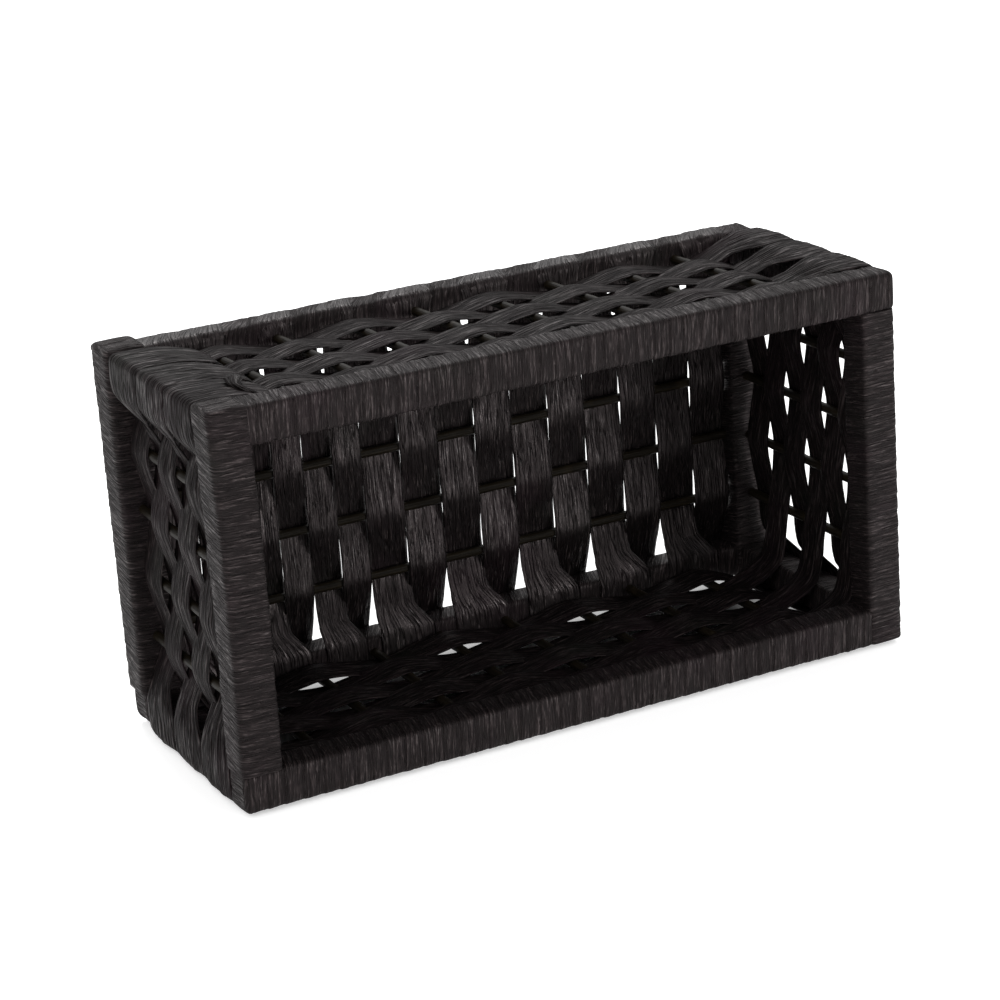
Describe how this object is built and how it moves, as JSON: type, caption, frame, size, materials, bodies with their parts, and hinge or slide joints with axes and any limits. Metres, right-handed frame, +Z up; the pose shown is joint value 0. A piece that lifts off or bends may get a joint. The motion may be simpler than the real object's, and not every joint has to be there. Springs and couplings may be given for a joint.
{
  "type": "napkin dispenser",
  "caption": "Low woven box with one open side, built on wrapped battens and reed stakes with flat paper ribbons, that holds a stack of folded paper napkins.",
  "frame": {"origin": "middle of the underside of the box around the caddy, which lies on its long side", "axes": "+X along the long side, to the right as seen from the open side; +Y from the open rim to the woven base; +Z up"},
  "size_m": [0.28, 0.112, 0.149],
  "materials": {
    "wrapped_ribbon": "satin",
    "wall_ribbon": "satin",
    "base_ribbon": "satin",
    "stake": "matte",
    "batten": "matte"
  },
  "bodies": {
    "root": {"rim_left_wrap": "wrapped_ribbon", "rim_bottom_wrap": "wrapped_ribbon", "rim_right_wrap": "wrapped_ribbon", "rim_top_wrap": "wrapped_ribbon", "base_left_wrap": "wrapped_ribbon", "base_bottom_wrap": "wrapped_ribbon", "base_right_wrap": "wrapped_ribbon", "base_top_wrap": "wrapped_ribbon", "post_top_right_wrap": "wrapped_ribbon", "post_bottom_right_wrap": "wrapped_ribbon", "post_bottom_left_wrap": "wrapped_ribbon", "post_top_left_wrap": "wrapped_ribbon", "rim_left_batten": "batten", "rim_bottom_batten": "batten", "rim_right_batten": "batten", "rim_top_batten": "batten", "base_left_batten": "batten", "base_bottom_batten": "batten", "base_right_batten": "batten", "base_top_batten": "batten", "post_top_right_batten": "batten", "post_bottom_right_batten": "batten", "post_bottom_left_batten": "batten", "post_top_left_batten": "batten", "top_stake_1": "stake", "top_stake_2": "stake", "top_stake_3": "stake", "top_stake_4": "stake", "top_stake_5": "stake", "top_stake_6": "stake", "top_stake_7": "stake", "top_stake_8": "stake", "right_stake_1": "stake", "right_stake_2": "stake", "right_stake_3": "stake", "right_stake_4": "stake", "bottom_stake_1": "stake", "bottom_stake_2": "stake", "bottom_stake_3": "stake", "bottom_stake_4": "stake", "bottom_stake_5": "stake", "bottom_stake_6": "stake", "bottom_stake_7": "stake", "bottom_stake_8": "stake", "left_stake_1": "stake", "left_stake_2": "stake", "left_stake_3": "stake", "left_stake_4": "stake", "base_stake_1": "stake", "base_stake_2": "stake", "base_stake_3": "stake", "base_stake_4": "stake", "wall_ribbon_1": "wall_ribbon", "wall_ribbon_2": "wall_ribbon", "wall_ribbon_3": "wall_ribbon", "wall_ribbon_4": "wall_ribbon", "wall_ribbon_5": "wall_ribbon", "wall_ribbon_6": "wall_ribbon", "base_ribbon": "base_ribbon"}
  },
  "joints": []
}
